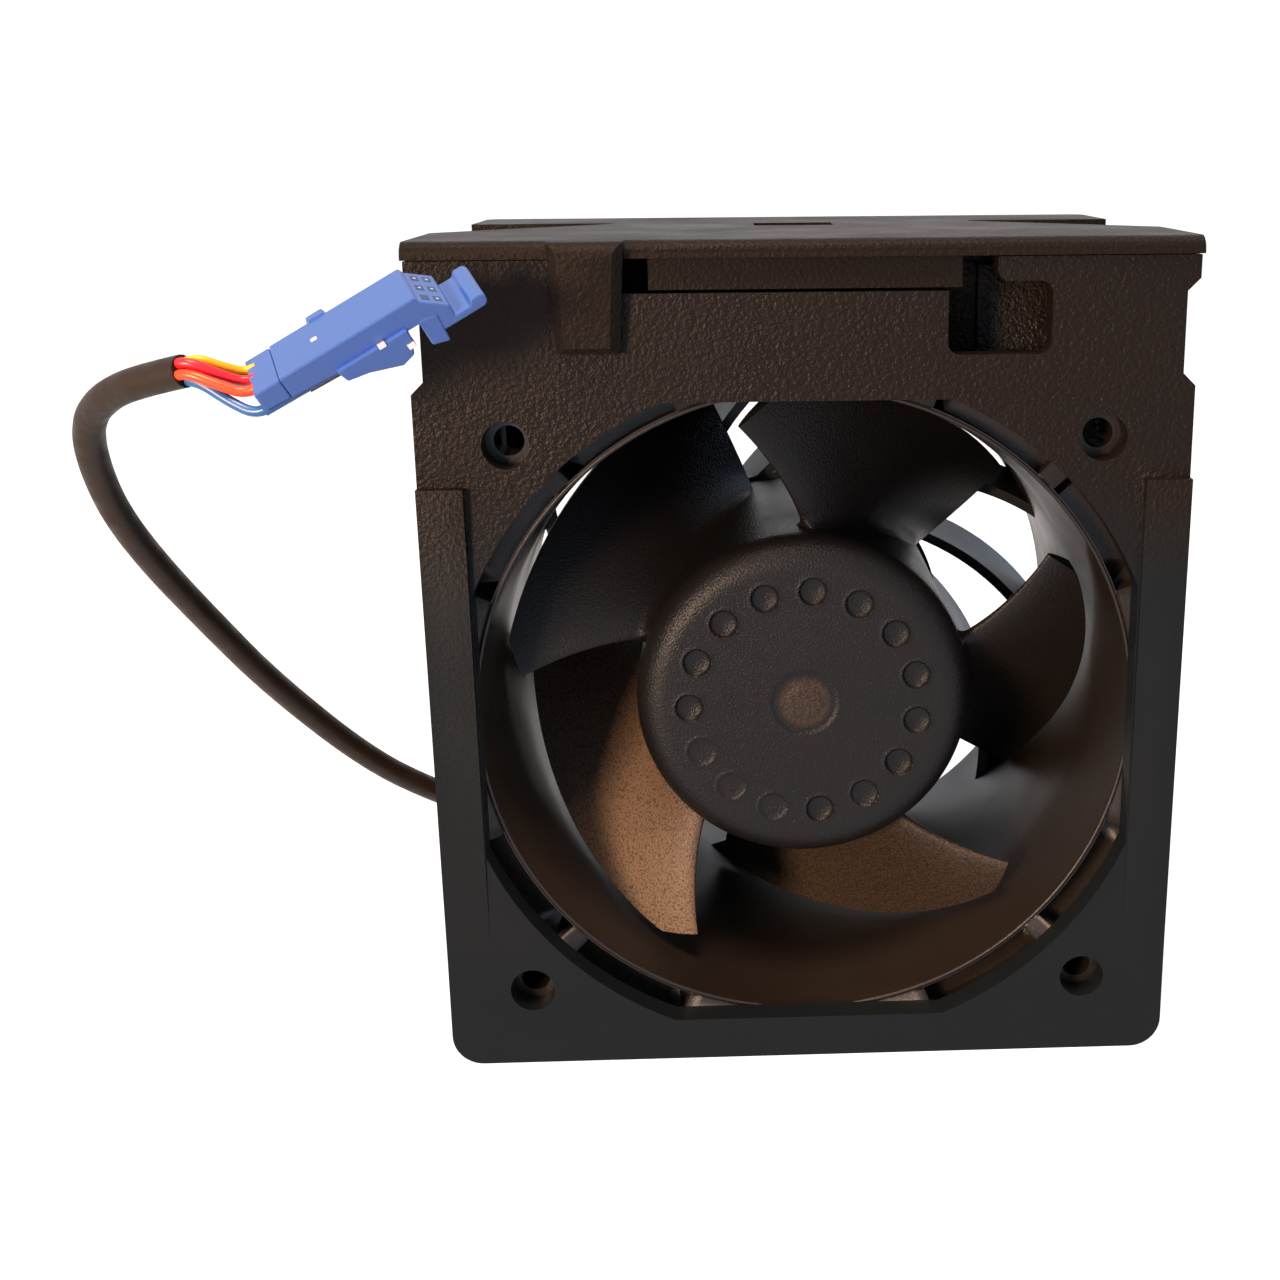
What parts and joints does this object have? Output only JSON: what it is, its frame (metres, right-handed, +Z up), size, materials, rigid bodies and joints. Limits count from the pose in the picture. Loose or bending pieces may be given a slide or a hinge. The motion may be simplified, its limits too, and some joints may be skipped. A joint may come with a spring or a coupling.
{
  "type": "server fan module",
  "caption": "Black server fan module: moulded carrier with clip-fit cover, dimpled hub, swept blades and outlet vanes, sleeved lead and blue plug.",
  "frame": {"origin": "middle of the base, under the centre of the module's footprint, without the lead and plug", "axes": "+X to the right seen from the intake, +Y from the intake to the outlet along the fan's axis, +Z up to the cover"},
  "size_m": [0.0922, 0.0582, 0.075],
  "materials": {
    "carrier_plastic": "fine grained black moulding",
    "fan_plastic": "satin glass-filled black",
    "impeller_plastic": "satin glass-filled black",
    "steel": "zinc plated",
    "hardened_steel": "ground",
    "bonded_magnet": "dull grey-black",
    "brass": "turned",
    "insulator_plastic": "natural nylon",
    "enamelled_copper": "enamelled wire",
    "board_laminate": "solder mask",
    "chip_epoxy": "moulded epoxy",
    "sleeve_plastic": "soft shrink sleeve",
    "wire_yellow": "smooth insulation",
    "wire_red": "smooth insulation",
    "wire_orange": "smooth insulation",
    "wire_blue": "smooth insulation",
    "wire_black": "smooth insulation",
    "connector_blue": "satin nylon",
    "tinned_contacts": "tin plated"
  },
  "bodies": {
    "module": {"carrier_housing": "carrier_plastic", "top_cover": "carrier_plastic", "fan_frame": "fan_plastic", "motor_base": "fan_plastic", "outlet_vanes": "fan_plastic", "bearing_tube": "brass", "bearing_outer_races": "hardened_steel", "bearing_balls": "hardened_steel", "bearing_cap": "fan_plastic", "stator_core": "steel", "winding_insulators": "insulator_plastic", "stator_coils": "enamelled_copper", "circuit_board": "board_laminate", "board_spacers": "fan_plastic", "drive_chip": "chip_epoxy", "hall_sensor": "chip_epoxy", "board_capacitors": "chip_epoxy", "inner_lead": "sleeve_plastic", "lead_grommet": "carrier_plastic", "cable_sleeve": "sleeve_plastic", "wire_yellow": "wire_yellow", "wire_red": "wire_red", "wire_orange": "wire_orange", "wire_blue": "wire_blue", "wire_black": "wire_black", "connector_housing": "connector_blue", "connector_contacts": "tinned_contacts"},
    "rotor": {"impeller": "impeller_plastic", "rotor_yoke": "steel", "rotor_magnet": "bonded_magnet", "motor_shaft": "hardened_steel", "bearing_inner_races": "hardened_steel", "preload_washer": "steel", "retaining_clip": "steel"}
  },
  "joints": [
    {"name": "impeller_spin", "type": "hinge", "parent": "module", "child": "rotor", "pos_m": [0, -0.0146, 0.0323], "axis": [0, -1, 0], "continuous": true}
  ]
}
